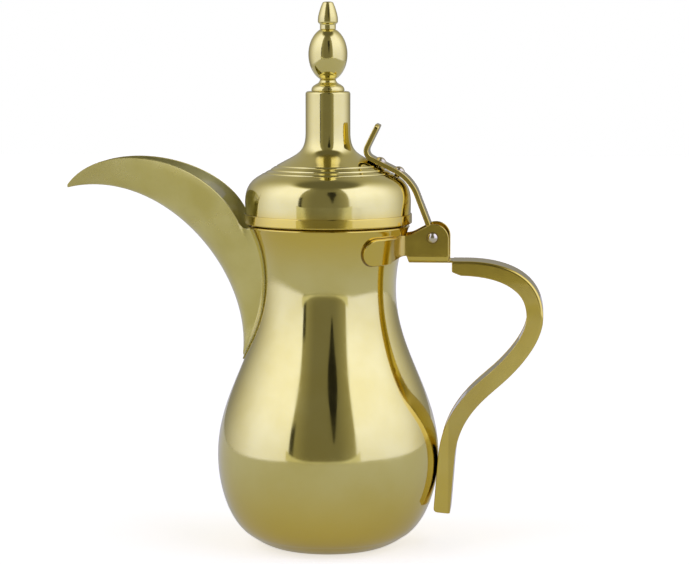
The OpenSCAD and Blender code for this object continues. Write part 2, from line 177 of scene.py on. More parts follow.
def joined(*parts):
    """Several lots of points, faces and normals as one."""
    points = np.concatenate([p for p, _, _ in parts])
    normals = np.concatenate([n for _, _, n in parts])
    faces, first = [], 0
    for p, f, _ in parts:
        faces.extend([i + first for i in face] for face in f)
        first += len(p)
    return points, faces, normals


def placed(part, matrix):
    """A part turned and moved by a 4 by 4 matrix."""
    m = np.array(matrix)
    points, faces, normals = part
    return points @ m[:3, :3].T + m[:3, 3], faces, normals @ m[:3, :3].T


def mirrored(part):
    """A part reflected in the pot's middle plane."""
    points, faces, normals = part
    flip = np.array([1, -1, 1])
    return points * flip, faces, normals * flip


def sheet(outline, place, thickness, edge_r, inner_points, step=1.0):
    """A bent sheet. Its flat pattern is a closed outline, which place(s, a) folds
    to a point and a normal of the sheet's middle surface. Its edges are rounded.
    The thickness is one number or a function of a point of the pattern."""
    x, y = outline[:, 0], outline[:, 1]
    if np.sum(x * np.roll(y, -1) - np.roll(x, -1) * y) < 0:
        outline = outline[::-1]
    rim = spaced(outline, step)
    out = right_normals(rim, closed=True)
    rim = rim - edge_r * out
    inner = inside(inner_points, rim, 0.35 * step)
    loop = len(rim)
    flat = [Vector(p) for p in np.concatenate([rim, inner])]
    flat, _, faces, _, _, _ = delaunay_2d_cdt(flat, [], [list(range(loop))], 1, 1e-5)
    count = len(flat)
    middle, normal = (np.array(rows) for rows in zip(*(place(*p) for p in flat)))
    half = np.array([thickness(*p) if callable(thickness) else thickness for p in flat])[:, None] / 2
    points = [middle + half * normal, middle - half * normal]
    normals = [normal, -normal]
    skins = [list(f) for f in faces] + [[i + count for i in f[::-1]] for f in faces]
    # Rounded edge: rings of points from the upper skin's rim to the lower one's.
    away = np.array([place(*(p + 0.02 * o))[0] - place(*(p - 0.02 * o))[0] for p, o in zip(rim, out)])
    n0 = normal[:loop]
    away = away - np.sum(away * n0, 1)[:, None] * n0
    away = away / np.linalg.norm(away, axis=1)[:, None]
    rings, first = [list(range(loop))], 2 * count
    for angle, side in ((30, 1), (60, 1), (90, 1), (90, -1), (120, -1), (150, -1)):
        turn = math.radians(angle)
        turned = math.cos(turn) * n0 + math.sin(turn) * away
        points.append(middle[:loop] + side * (half[:loop] - edge_r) * n0 + edge_r * turned)
        normals.append(turned)
        rings.append(list(range(first, first + loop)))
        first += loop
    rings.append([count + i for i in range(loop)])
    edges = []
    for up, down in zip(rings, rings[1:]):
        for i in range(loop):
            j = (i + 1) % loop
            edges.append([up[i], down[i], down[j], up[j]])
    return np.concatenate(points), skins + edges, np.concatenate(normals)


def inside(points, outline, margin):
    """The points that lie inside a closed outline and not within margin of it."""
    points = np.array(points, float)
    nxt = np.roll(outline, -1, 0)
    keep = []
    for p in points:
        crosses = (outline[:, 1] > p[1]) != (nxt[:, 1] > p[1])
        rise = np.where(crosses, nxt[:, 1] - outline[:, 1], 1)
        at = outline[:, 0] + (p[1] - outline[:, 1]) * (nxt[:, 0] - outline[:, 0]) / rise
        odd = np.count_nonzero(crosses & (at > p[0])) % 2
        near = np.min(np.linalg.norm(outline - p, axis=1))
        if odd and near > margin:
            keep.append(p)
    return np.array(keep).reshape(-1, 2)


def piece(name, part, body, nodes, material):
    """A shown piece, in place of CAD nodes, that rides on a body."""
    points, faces, normals = part
    mesh = bpy.data.meshes.new(name)
    mesh.from_pydata((points * MM).tolist(), [], faces)
    bm = bmesh.new()
    bm.from_mesh(mesh)
    bmesh.ops.recalc_face_normals(bm, faces=bm.faces)
    bm.to_mesh(mesh)
    bm.free()
    mesh.shade_smooth()
    if normals is not None:
        mesh.normals_split_custom_set_from_vertices(normals.tolist())
    return shown(name, mesh, body, nodes, material)


def shown(name, mesh, body, nodes, material):
    """Shows a mesh as an object that rides on a body, in place of CAD nodes."""
    mesh.materials.append(material)
    ob = bpy.data.objects.new(name, mesh)
    scene.collection.objects.link(ob)
    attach(ob, body)
    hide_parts(*nodes)
    return ob


# ---- Sizes that the materials use too ----

PIN_X, PIN_Z = 58.2, 172.0
PIN_HEAD_R = 2.9
STRAP_W = 24.0
PAD_Z, PAD_H = 165.5, 14.7
PAD_ANGLE = 47.7
HANDLE_X = 68.8


# ---- Materials ----

class Nodes:
    """A short way to build a material's node tree."""

    def __init__(self, name):
        self.material = bpy.data.materials.new(name)
        self.material.use_nodes = True
        self.tree = self.material.node_tree
        self.tree.nodes.clear()

    def add(self, kind, links=None, **values):
        """A new node, with sockets linked to others and settings or sockets set to values."""
        node = self.tree.nodes.new("ShaderNode" + kind)
        for key, value in values.items():
            if hasattr(node, key):
                setattr(node, key, value)
            else:
                node.inputs[key.replace("_", " ")].default_value = value
        for key, source in (links or {}).items():
            self.link(source, node.inputs[key])
        return node

    def link(self, source, socket):
        self.tree.links.new(source, socket)

    def output(self, surface, kind="OutputMaterial"):
        """Joins the surface to the tree's output."""
        self.link(surface, self.add(kind).inputs[0])


def noise(n, place, scale, detail, stretch=(1, 1, 1)):
    """Fractal noise, with its pattern stretched along the object's axes."""
    mapping = n.add("Mapping", {"Vector": place}, Scale=stretch)
    return n.add("TexNoise", {"Vector": mapping.outputs[0]}, Scale=scale, Detail=detail).outputs[0]


def ranged(n, value, low, high, out_low, out_high, kind="LINEAR"):
    """Maps a value from one range to another, clamped."""
    ends = {"From_Min": low, "From_Max": high, "To_Min": out_low, "To_Max": out_high}
    return n.add("MapRange", {0: value}, interpolation_type=kind, **ends).outputs[0]


def mixed(n, share, a, b):
    """A colour between a and b, each a colour or a socket."""
    node = n.add("Mix", {0: share}, data_type="RGBA")
    for socket, colour in ((node.inputs[6], a), (node.inputs[7], b)):
        if isinstance(colour, tuple):
            socket.default_value = (*colour, 1)
        else:
            n.link(colour, socket)
    return node.outputs[2]


def calc(n, operation, a, b=None):
    """One calculation with one or two values, each a socket or a number."""
    node = n.add("Math", operation=operation)
    for k, value in enumerate((a, b)):
        if isinstance(value, (int, float)):
            node.inputs[k].default_value = value
        elif value is not None:
            n.link(value, node.inputs[k])
    return node.outputs[0]


def times(n, a, b):
    return calc(n, "MULTIPLY", a, b)


def smooth_step(n, value, low, high, out_low=0.0, out_high=1.0):
    """Goes smoothly from out_low at low to out_high at high."""
    return ranged(n, value, low, high, out_low, out_high, "SMOOTHSTEP")


def window(n, value, low, high, soft_low, soft_high):
    """1 between low and high, falling to 0 over the soft widths outside them."""
    rise = smooth_step(n, value, low - soft_low, low)
    fall = smooth_step(n, value, high, high + soft_high, 1.0, 0.0)
    return times(n, rise, fall)


def ring_line(n, across, up, radius, before, beyond, soft):
    """1 on a line round a circle, from before its radius to beyond it, with its
    outer side fading over a soft width. Lengths are in millimetres."""
    away = calc(n, "SQRT", calc(n, "ADD", times(n, across, across), times(n, up, up)))
    return window(n, away, (radius - before) * MM, (radius + beyond) * MM, 0.1 * MM, soft * MM)


def pad_seam(n, x, y, z):
    """1 on the thin line of solder round the pads that lie on the neck."""
    neck_r = 40.5
    angle = calc(n, "ARCTAN2", calc(n, "ABSOLUTE", y), x)
    beyond = times(n, calc(n, "SUBTRACT", angle, math.radians(PAD_ANGLE)), neck_r * MM)
    along = calc(n, "MAXIMUM", beyond, 0.0)
    up = calc(n, "SUBTRACT", z, PAD_Z * MM)
    line = ring_line(n, along, up, PAD_H / 2, before=0.15, beyond=0.35, soft=0.4)
    # The line ends where the arm leaves the neck.
    return times(n, line, smooth_step(n, angle, math.radians(27), math.radians(31)))


def bracket_shade(n, x, y, z):
    """1 on a narrow ring of painted shadow round the hinge pin's heads, and lighter
    painted shade in the hollow of the arms and on the sides of the handle's start."""
    across = calc(n, "SUBTRACT", x, PIN_X * MM)
    up = calc(n, "SUBTRACT", z, PIN_Z * MM)
    # Painted shadow: a dark ring round each pin head.
    ring = ring_line(n, across, up, PIN_HEAD_R, before=0.3, beyond=0.25, soft=0.35)
    start = window(n, x, (HANDLE_X - 0.8) * MM, (HANDLE_X + 3.2) * MM, 1 * MM, 40 * MM)
    sides = calc(n, "MAXIMUM", ring, times(n, start, START_SHADE))
    # Both lie only on the outer sides of the sheet's two walls.
    wall_y = STRAP_W / 2 - 0.5
    outer = smooth_step(n, calc(n, "ABSOLUTE", y), (wall_y - 0.5) * MM, wall_y * MM)
    # The arms, between the pads and the ears, from under them to above them.
    along = window(n, x, 37 * MM, 43.5 * MM, 1.5 * MM, 1 * MM)
    arms = times(n, along, window(n, z, 150 * MM, 175 * MM, 1 * MM, 1 * MM))
    # Painted shade: the ring, the handle's start and the arms' hollow are darkened in the colour.
    return calc(n, "MAXIMUM", times(n, sides, outer), times(n, arms, ARM_SHADE))


def tip_darkening(n, x, y, z):
    """Darker, rougher colour on the spout towards its tip."""
    return times(n, smooth_step(n, x, -95 * MM, -140 * MM), TIP_DARKENING)


def polished_metal(name, bright, deep, roughness, scratch_depth, shade_bands=None, seam_and_shade=None):
    """Buffed metal under clear lacquer: cloudy tone, hazy wiped spots, fine
    scratches of the polishing wheel and the slight waviness of spun and pressed
    sheet. The second last argument gives bands of painted shade: a deeper amber
    colour at the foot, where it meets the floor, and between two heights under
    the lid. The last marks where the metal is darker and rougher: a real solder
    seam on the body, painted shade round the hinge and a darker spout tip."""
    n = Nodes(name)
    place = n.add("TexCoord").outputs["Object"]
    x, y, z = n.add("SeparateXYZ", {0: place}).outputs
    tone = ranged(n, noise(n, place, scale=38, detail=4), 0.35, 0.65, 0, 1)
    colour = mixed(n, tone, deep, bright)
    if shade_bands:
        # Painted shade: a deeper amber at the foot, where it meets the floor, and under the lid.
        shade_tone, start, full = shade_bands
        foot = smooth_step(n, z, 55 * MM, 10 * MM)
        under_lid = smooth_step(n, z, 190 * MM, 180 * MM)
        mouth = times(n, smooth_step(n, z, start, full), under_lid)
        colour = mixed(n, calc(n, "ADD", foot, mouth), colour, shade_tone)
    haze = noise(n, place, scale=90, detail=5)
    wiped = noise(n, place, scale=26, detail=3, stretch=(1, 1, 2.5))
    both = times(n, haze, wiped)
    rough = ranged(n, both, 0.12, 0.42, roughness * 0.7, roughness * 1.6)
    # Dark, rough marks: the body's solder seam is real, the marks round the hinge are painted shade and the
    # spout tip is darker.
    if seam_and_shade:
        share = seam_and_shade(n, x, y, z)
        colour = mixed(n, times(n, share, SEAM_AND_SHADE_COVER), colour, SEAM_AND_SHADE_TONE)
        rough = calc(n, "ADD", rough, times(n, share, SEAM_AND_SHADE_ROUGH))
    fine = noise(n, place, scale=900, detail=2, stretch=(1, 1, 12))
    crossed = noise(n, place, scale=700, detail=2, stretch=(9, 9, 1))
    scratches = calc(n, "ADD", fine, crossed)
    waves = noise(n, place, scale=45, detail=1)
    scratched = n.add("Bump", {"Height": scratches}, Strength=0.25, Distance=scratch_depth)
    wavy = n.add("Bump", {"Height": waves, "Normal": scratched.outputs[0]}, Strength=0.5, Distance=0.02 * MM)
    links = {"Base Color": colour, "Roughness": rough, "Normal": wavy.outputs[0]}
    n.output(n.add("BsdfPrincipled", links, Metallic=1, Coat_Weight=1).outputs[0])
    return n.material


SCRATCH = 0.004 * MM
# Amber of the painted shade at the foot and under the lid.
SHADE_AMBER = (0.80, 0.61, 0.08)
# Tone, cover and added roughness of the dark marks: the body's solder seam and the painted shade round the
# hinge.
SEAM_AND_SHADE_TONE = (0.20, 0.11, 0.02)
SEAM_AND_SHADE_COVER, SEAM_AND_SHADE_ROUGH = 0.85, 0.25
# Strengths of the painted shade at the handle's start and on the arms, and of the darker spout tip.
START_SHADE, ARM_SHADE, TIP_DARKENING = 0.2, 0.38, 0.22
PALE, PALE_DEEP = (0.86, 0.755, 0.24), (0.81, 0.69, 0.18)
GOLD, GOLD_DEEP = (0.87, 0.70, 0.14), (0.82, 0.63, 0.10)
SATIN, SATIN_DEEP = (0.87, 0.77, 0.23), (0.76, 0.65, 0.14)
# Darker, rougher copy for the spout's inner faces: painted shade.
ROUGH_SHADED, ROUGH_SHADED_DEEP = (0.56, 0.52, 0.16), (0.44, 0.40, 0.11)
STEEL, STEEL_DEEP = (0.80, 0.73, 0.48), (0.70, 0.62, 0.40)
# Bands of painted shade: amber at the foot and, from these heights up, under the lid.
neck_shade_bands = (SHADE_AMBER, 150 * MM, 176 * MM)
handle_shade_bands = (SHADE_AMBER, 130 * MM, 152 * MM)

brass = polished_metal("pale_brass", PALE, PALE_DEEP, 0.09, SCRATCH, neck_shade_bands)
soldered = polished_metal("soldered_brass", PALE, PALE_DEEP, 0.09, SCRATCH, neck_shade_bands, pad_seam)
golden = polished_metal("golden_brass", GOLD, GOLD_DEEP, 0.10, SCRATCH, handle_shade_bands, bracket_shade)
satin = polished_metal("satin_brass", SATIN, SATIN_DEEP, 0.20, SCRATCH / 2, seam_and_shade=tip_darkening)
rough_shaded = polished_metal("rough_shaded_brass", ROUGH_SHADED, ROUGH_SHADED_DEEP, 0.42, SCRATCH)
steel = polished_metal("plated_steel", STEEL, STEEL_DEEP, 0.16, SCRATCH)


# ---- Body ----

MOUTH_R, MOUTH_Z = 45.0, 178.0
NECK_R, NECK_Z = 37.6, 142.7
BELLY_R, BELLY_Z = 61.4, 50.0
CORNER = np.array([43.5, 5.5])
FOOT_R = 33.0
FOOT_IN_R = 28.0
SHEET = 1.0

under_mouth = (MOUTH_R - 0.3, MOUTH_Z - 1.6)
body_side = chain(
    bezier(under_mouth, (MOUTH_R - 4.9, MOUTH_Z - 12), (NECK_R, NECK_Z + 11.5), (NECK_R, NECK_Z), 36),
    bezier((NECK_R, NECK_Z), (NECK_R, NECK_Z - 36), (BELLY_R, BELLY_Z + 36), (BELLY_R, BELLY_Z), 72),
    bezier((BELLY_R, BELLY_Z), (BELLY_R, BELLY_Z - 19), CORNER + (11, 6.2), CORNER, 44),
    bezier(CORNER, CORNER + (-3, -2.2), (FOOT_R + 3.5, 1), (FOOT_R, 0), 14),
)


def body_r(z):
    """Outer radius of the body at height z."""
    return np.interp(z, body_side[::-1, 1], body_side[::-1, 0])


def body_outline():
    rim = arc((MOUTH_R - 0.9, MOUTH_Z - 0.9), 0.9, 205, -35, 20)
    inner = moved(body_side, SHEET)
    outline = chain(rim, body_side, [(FOOT_IN_R, 0), (FOOT_IN_R, SHEET)], inner[::-1][:-1])
    foot = len(rim) + len(body_side) - 1
    return softened(outline, {foot: 0.6, foot + 1: 0.3, foot + 2: 0.3})


HOLE_ROWS, HOLE_PITCH, HOLE_R = 5, 8.0, 2.2
HOLES_X, HOLES_Z = -38, NECK_Z + 8.5


def strainer_cutter():
    """One object with a rod for each strainer hole behind the spout."""
    bm = bmesh.new()
    for row in range(HOLE_ROWS):
        count = 2 + row % 2
        for k in range(count):
            y = (k - (count - 1) / 2) * HOLE_PITCH
            z = HOLES_Z + (row - (HOLE_ROWS - 1) / 2) * HOLE_PITCH
            turn = Matrix.Translation(Vector((HOLES_X, y, z)) * MM) @ Matrix.Rotation(math.pi / 2, 4, "Y")
            r = HOLE_R * MM
            bmesh.ops.create_cone(
                bm, cap_ends=True, segments=32, radius1=r, radius2=r, depth=16 * MM, matrix=turn
            )
    mesh = bpy.data.meshes.new("strainer_cutter")
    bm.to_mesh(mesh)
    bm.free()
    ob = bpy.data.objects.new("strainer_cutter", mesh)
    scene.collection.objects.link(ob)
    return ob


def applied(ob):
    """Replaces an object's mesh by what its modifiers make of it."""
    graph = bpy.context.evaluated_depsgraph_get()
    made = bpy.data.meshes.new_from_object(
        ob.evaluated_get(graph), preserve_all_data_layers=True, depsgraph=graph
    )
    ob.modifiers.clear()
    old = ob.data
    ob.data = made
    bpy.data.meshes.remove(old)


def build_body():
    points, faces, _ = lathe(body_outline(), 224)
    ob = piece("body_spun", (points, faces, None), "pot", ["body_shell"], soldered)
    cutter = strainer_cutter()
    cut = ob.modifiers.new("holes", "BOOLEAN")
    cut.operation = "DIFFERENCE"
    cut.object = cutter
    cut.solver = "EXACT"
    applied(ob)
    bpy.data.objects.remove(cutter)
    ob.data.shade_smooth()
    ob.data.set_sharp_from_angle(angle=math.radians(40))


def build_base():
    flat_r, plate_r = FOOT_IN_R - 1.5, FOOT_R - 1.5
    outline = [
        (0, 0), (flat_r, 0), (flat_r + 1, SHEET), (plate_r, SHEET), (plate_r, 2 * SHEET),
        (flat_r + 0.5, 2 * SHEET), (flat_r - 0.5, SHEET), (0, SHEET),
    ]
    soft = softened(outline, {1: 0.6, 2: 0.5, 3: 0.3, 4: 0.3, 5: 0.6, 6: 0.5})
    piece("base_disc", lathe(soft, 128), "pot", ["base_plate"], brass)


# ---- Spout ----

SPOUT_SHEET = 0.9
SPOUT_HALF, TIP_HALF = 21.0, 0.6
WALL_LEAN = math.radians(70)
ROOT_CURVE = 9.2
BELLY_OUT = 5.0
FLANGE = 1.4
GAP = 0.06
SPOUT_COLUMNS, SPOUT_ROWS, BEND_COLUMNS, CAP_ROWS = 110, 44, 10, 5
# Points round a wall's section: up its outer surface, over the edge, down the inner.
RING = 2 * (SPOUT_ROWS + 1) + CAP_ROWS

keel = bezier((-145.5, 197.5), (-93.2, 210.1), (-42.4, 153.4), (-47.6, 105.8), SPOUT_COLUMNS)
edge = Line(chain(
    bezier((-145.6, 199), (-126.7, 223.7), (-70.2, 218.3), (-49.4, 185.6), 160),
    bezier((-49.4, 185.6), (-46.9, 181.6), (-46, 176.9), (-42.1, 176.5), 40),
))


def spout_surface():
    """The outer surface of the near wall, as a grid: along the spout, then up."""
    s = np.linspace(0, 1, SPOUT_COLUMNS + 1)
    # The edge is read slower near the neck, where it dips to the rim.
    top = np.array([edge.at(edge.length * (k + 0.7 * k * (1 - k))) for k in s])
    u = np.linspace(0, 1, SPOUT_ROWS + 1) ** 1.5
    bulge = BELLY_OUT * np.sin(np.pi * s ** 1.5) ** 2
    half = SPOUT_HALF * np.sin(np.pi / 2 * s ** 0.8) + TIP_HALF * (1 - s) + bulge
    side = keel[:, None, :] + (top - keel)[:, None, :] * u[None, :, None]
    x = side[:, :, 0] + ROOT_CURVE * s[:, None] ** 6 * np.sin(np.pi * u ** 1.2)
    y = -half[:, None] * np.sin(WALL_LEAN * u ** 0.6) / math.sin(WALL_LEAN)
    return np.stack([x, y, side[:, :, 1]], 2), u


def unit(v):
    return v / np.maximum(np.linalg.norm(v, axis=-1, keepdims=True), 1e-12)


def on_neck(angle, z, out):
    r = body_r(z) + out
    return np.stack([-r * np.cos(angle), -r * np.sin(angle), z], -1)


def spout_flange(wall, u):
    """Columns beyond the root: the wall bends out and lies on the neck."""
    root = wall[-1]
    way = unit(root - wall[-2])
    up = unit(np.gradient(root, axis=0))
    way = unit(way - np.sum(way * up, 1)[:, None] * up)
    out = GAP + SPOUT_SHEET
    r = body_r(root[:, 2]) + out
    foot = np.arcsin(np.clip(-root[:, 1] / r, -1, 1))
    down = np.maximum(0, 1 - u / 0.2) ** 2
    lead = np.maximum(0.5, -root[:, 0] - r * np.cos(foot)) + 0.8
    turn = foot + lead / r * (1 - down)
    land = on_neck(turn, root[:, 2] - lead * down, out)
    last = on_neck(turn + FLANGE / r * (1 - down), root[:, 2] - (lead + FLANGE) * down, out)
    slide = unit(last - land)
    size = np.linalg.norm(land - root, axis=1)[:, None]
    a, b = root + way * size * 0.45, land - slide * size * 0.45
    columns = []
    for t in np.linspace(0, 1, BEND_COLUMNS + 1)[1:]:
        near = (1 - t) ** 3 * root + 3 * (1 - t) ** 2 * t * a
        columns.append(near + 3 * (1 - t) * t ** 2 * b + t ** 3 * land)
    columns.append((land + last) / 2)
    columns.append(last)
    return np.array(columns)


def spout_wall():
    """The near wall as points, faces and normals, closed all round."""
    wall, u = spout_surface()
    wall = np.concatenate([wall, spout_flange(wall, u)])
    along = np.gradient(wall, axis=0)
    up = np.gradient(wall, axis=1)
    normal = unit(np.cross(along, up))
    under = unit(np.cross(along[:, 0], [0, 1, 0]))
    normal[:, 0] = under * np.sign(np.sum(under * normal[:, 1], 1))[:, None]
    taper = np.clip(np.linspace(0, 8, len(wall)), 0.25, 1)[:, None]
    thin = SPOUT_SHEET * taper[:, :, None]
    inner = wall - thin * normal
    inner[:, :, 1] = np.minimum(inner[:, :, 1], 0)
    inner[:, 0, 1] = 0
    # The free edge: a half round from the outer to the inner surface.
    rise = unit(up[:, -1])
    middle = (wall[:, -1] + inner[:, -1]) / 2
    reach = np.linalg.norm(wall[:, -1] - inner[:, -1], axis=1)[:, None] / 2
    angles = np.linspace(0, math.pi, CAP_ROWS + 2)[1:-1]
    cap_normals = [math.cos(a) * normal[:, -1] + math.sin(a) * rise for a in angles]
    caps = [middle + reach * n for n in cap_normals]
    rings = np.concatenate([wall, np.stack(caps, 1), inner[:, ::-1]], 1)
    ring_normals = np.concatenate([normal, np.stack(cap_normals, 1), -normal[:, ::-1]], 1)
    faces = []
    for c in range(len(rings) - 1):
        low, high = c * RING, (c + 1) * RING
        for j in range(RING):
            k = (j + 1) % RING
            faces.append([low + j, low + k, high + k, high + j])
    for first in (0, (len(rings) - 1) * RING):
        for j in range(SPOUT_ROWS):
            faces.append([first + i for i in (j, RING - 1 - j, RING - 2 - j, j + 1)])
        faces.append([first + SPOUT_ROWS + k for k in range(CAP_ROWS + 2)])
    return rings.reshape(-1, 3), faces, ring_normals.reshape(-1, 3)


def build_spout():
    """Two mirrored walls, brushed outside; inside, a darker, rougher copy of the brass is painted shade."""
    wall = spout_wall()
    bands = SPOUT_COLUMNS + BEND_COLUMNS + 2
    for name, part, node in (
        ("spout_wall_left", wall, "spout_left"), ("spout_wall_right", mirrored(wall), "spout_right"),
    ):
        ob = piece(name, part, "pot", [node], satin)
        # The inner faces take the darker copy: painted shade inside the spout.
        ob.data.materials.append(rough_shaded)
        for k in range(bands * RING):
            if SPOUT_ROWS + CAP_ROWS < k % RING < RING - 1:
                ob.data.polygons[k].material_index = 1


# ---- Bracket and handle: one folded sheet ----

STRAP = 1.3
WALL_Y = STRAP_W / 2 - STRAP / 2
FLOOR_Z = 158.0 + STRAP / 2
BEND_R = 3.0
FLOOR_HALF = WALL_Y - BEND_R
FOLD_R = 0.9
WEB_HALF = WALL_Y - FOLD_R
BRIDGE_HALF = FLOOR_HALF - 0.05
ARM_X = 44.2
EAR_END_X = 67.1
PAD_T = 2.2
ARM_ANGLE = 30.0
# Degrees by which the arm's line runs on along the neck, past the pad's centre.
PAST_PAD = 20.0
HANDLE_DEPTH = 9.2

handle_outer = chain(
    bezier((HANDLE_X, 159.3), (72, 159.3), (75, 159.3), (78, 159.3), 20),
    bezier((78, 159.3), (98, 159), (118.8, 152), (118.8, 128.5), 120),
    bezier((118.8, 128.5), (118.8, 115.5), (107.1, 101.4), (96.6, 91.9), 80),
    bezier((96.6, 91.9), (87.1, 83.3), (73.2, 73), (71.1, 52), 110),
    bezier((71.1, 52), (70.2, 43), (69.4, 30), (68.4, 19.3), 60),
)
handle_line = Line(moved(handle_outer, STRAP / 2))


def channel_depth(s):
    """Depth of the handle's channel at distance s from its start."""
    return min(HANDLE_DEPTH, 6 + 0.4 * s, 7.8 + 0.035 * s)


def neck_gap_r(z):
    """Radius of the pad's middle surface at height z."""
    return body_r(z) + 0.05 + STRAP / 2


def arm_path():
    """Plan view of pad and arm, from beyond the pad's far end to the ear, with y
    as its distance from the middle."""
    r = neck_gap_r(PAD_Z)
    start = math.radians(ARM_ANGLE)
    a = np.array([r * math.cos(start), r * math.sin(start)])
    way = np.array([math.sin(start), -math.cos(start)])
    pad_arc = arc((0, 0), r, PAD_ANGLE + PAST_PAD, ARM_ANGLE, 80)
    arm = bezier(a, a + 7.5 * way, (41.2, WALL_Y), (ARM_X, WALL_Y), 60)
    return chain(pad_arc, arm)


arm_line = Line(arm_path())
# Distances along the arm's line: the centre of the pad's round end, then where
# the line leaves the neck's curve.
PAD_START = math.radians(PAST_PAD) * neck_gap_r(PAD_Z)
PAD_END = PAD_START + math.radians(PAD_ANGLE - ARM_ANGLE) * neck_gap_r(PAD_Z)
# The pattern is read by s, which is x at the ears and grows along the sheet. It
# starts at FIRST_S, and the pad's extra thickness ends at STEP_S.
FIRST_S = ARM_X - arm_line.length
STEP_S = FIRST_S + PAD_END + 1.5


def folded(a, flat, r):
    """Sideways place, height and turn of a point a from the middle of a folded section."""
    b = abs(a)
    if b <= flat:
        return a, 0.0, 0.0
    turn = min((b - flat) / r, math.pi / 2)
    rest = max(0.0, b - flat - r * math.pi / 2)
    return math.copysign(flat + r * math.sin(turn), a), r * (1 - math.cos(turn)) + rest, turn


def wall_z(a):
    """Height of a point a from the middle of the bracket's pattern, above its bend."""
    return FLOOR_Z + BEND_R + abs(a) - FLOOR_HALF - BEND_R * math.pi / 2


def pattern_a(z):
    """Distance from the pattern's middle to height z of an ear or a pad."""
    return z - FLOOR_Z - BEND_R + FLOOR_HALF + BEND_R * math.pi / 2


def strap_thickness(s, a):
    """Thickness of the folded sheet, which is greater at the pads on the neck."""
    return STRAP + (PAD_T - STRAP) * float(np.clip(0.5 - (s - STEP_S) / 0.6, 0, 1))


def place_arm(s, a):
    """Pad and arm: the wall of the pattern follows the plan path and the neck's flare."""
    side = math.copysign(1, a)
    d = s - FIRST_S
    x, y = arm_line.at(d)
    z = wall_z(a)
    out = -arm_line.right(d)
    # The flare of the neck fades out over the arm, before it reaches the ear.
    share = np.clip((arm_line.length - d) / (arm_line.length - PAD_END) * 1.35 - 0.35, 0, 1)
    share = share * share * (3 - 2 * share)
    flare = neck_gap_r(z) - neck_gap_r(PAD_Z)
    tilt = (neck_gap_r(z + 0.5) - neck_gap_r(z - 0.5)) * share
    radial = unit(np.array([x, y]))
    x, y = x + share * flare * radial[0], y + share * flare * radial[1]
    normal = unit(np.array([out[0], out[1], -tilt * np.dot(out, radial)]))
    point = np.array([x, y, z]) + normal * (strap_thickness(s, a) - STRAP) / 2
    return point * (1, side, 1), normal * (1, side, 1)


def place_strap(s, a):
    """Folds the whole pattern: pads and arms, then ears and floor, then the handle."""
    if s < ARM_X:
        return place_arm(s, a)
    side = math.copysign(1, a)
    if s < HANDLE_X:
        y, h, turn = folded(a, FLOOR_HALF, BEND_R)
        return np.array([s, y, FLOOR_Z + h]), np.array([0, side * math.sin(turn), -math.cos(turn)])
    d = s - HANDLE_X
    y, h, turn = folded(a, WEB_HALF, FOLD_R)
    p, right = handle_line.at(d), handle_line.right(d)
    p = p + h * right
    flat = -math.cos(turn) * right
    # The outer side of the handle is the upper side of the floor, so the normal is turned over.
    return np.array([p[0], y, p[1]]), -np.array([flat[0], side * math.sin(turn), flat[1]])


def flange_end(s):
    """Distance from the pattern's middle to the handle flange's edge."""
    return WEB_HALF + FOLD_R * math.pi / 2 + channel_depth(s) - STRAP / 2 - FOLD_R


def arm_s(x):
    """Place along the pattern of a point of the arm at x."""
    return FIRST_S + float(np.interp(x, arm_line.points[:, 0], arm_line.along))


def strap_outline():
    """One half of the flat pattern, then its mirror image."""
    ear_centre = np.array([PIN_X + 0.9, pattern_a(PIN_Z - 0.6)])
    front = np.array([45.7, pattern_a(173.2)])
    ear_r = 8.0
    d = ear_centre - front
    slope = math.degrees(math.atan2(d[1], d[0]) + math.asin(ear_r / np.linalg.norm(d)))
    end = HANDLE_X + handle_line.length
    low, high = pattern_a(PAD_Z - PAD_H / 2), pattern_a(PAD_Z + PAD_H / 2)
    edge_line = [(HANDLE_X + t, flange_end(t)) for t in np.linspace(handle_line.length, 0, 150)]
    handle_part = [(end, 0)] + edge_line + [(HANDLE_X, BRIDGE_HALF), (EAR_END_X, BRIDGE_HALF)]
    ear = arc(ear_centre, ear_r, 0, slope + 90, 24)
    pad = arc((FIRST_S + PAD_START, (low + high) / 2), PAD_H / 2, 90, 270, 32)
    arch_end, under_end = (ARM_X, pattern_a(162)), (arm_s(40.2), pattern_a(162.2))
    arch = bezier((arm_s(35.5), low), (arm_s(38), low + 0.3), under_end, arch_end, 16)
    outline = chain(handle_part, ear, [front], pad, arch, [(ARM_X + 1, FLOOR_HALF + 1), (ARM_X + 1, 0)])
    n = len(handle_part)
    corners = {
        1: 2.2, len(edge_line): 0.5, n - 2: 0.5, n - 1: 0.5,
        n + len(ear): 2.5, len(outline) - 3: 0.8, len(outline) - 2: 0.8,
    }
    half = softened_open(outline, corners)
    other = half[::-1] * (1, -1)
    return chain(half, other[1:-1])


def softened_open(points, corners):
    """Rounds corners of an open half outline by closing it far away for the while."""
    closed = np.concatenate([points, [(points[-1][0], -60), (points[0][0], -60)]])
    return softened(closed, corners)[:-2]


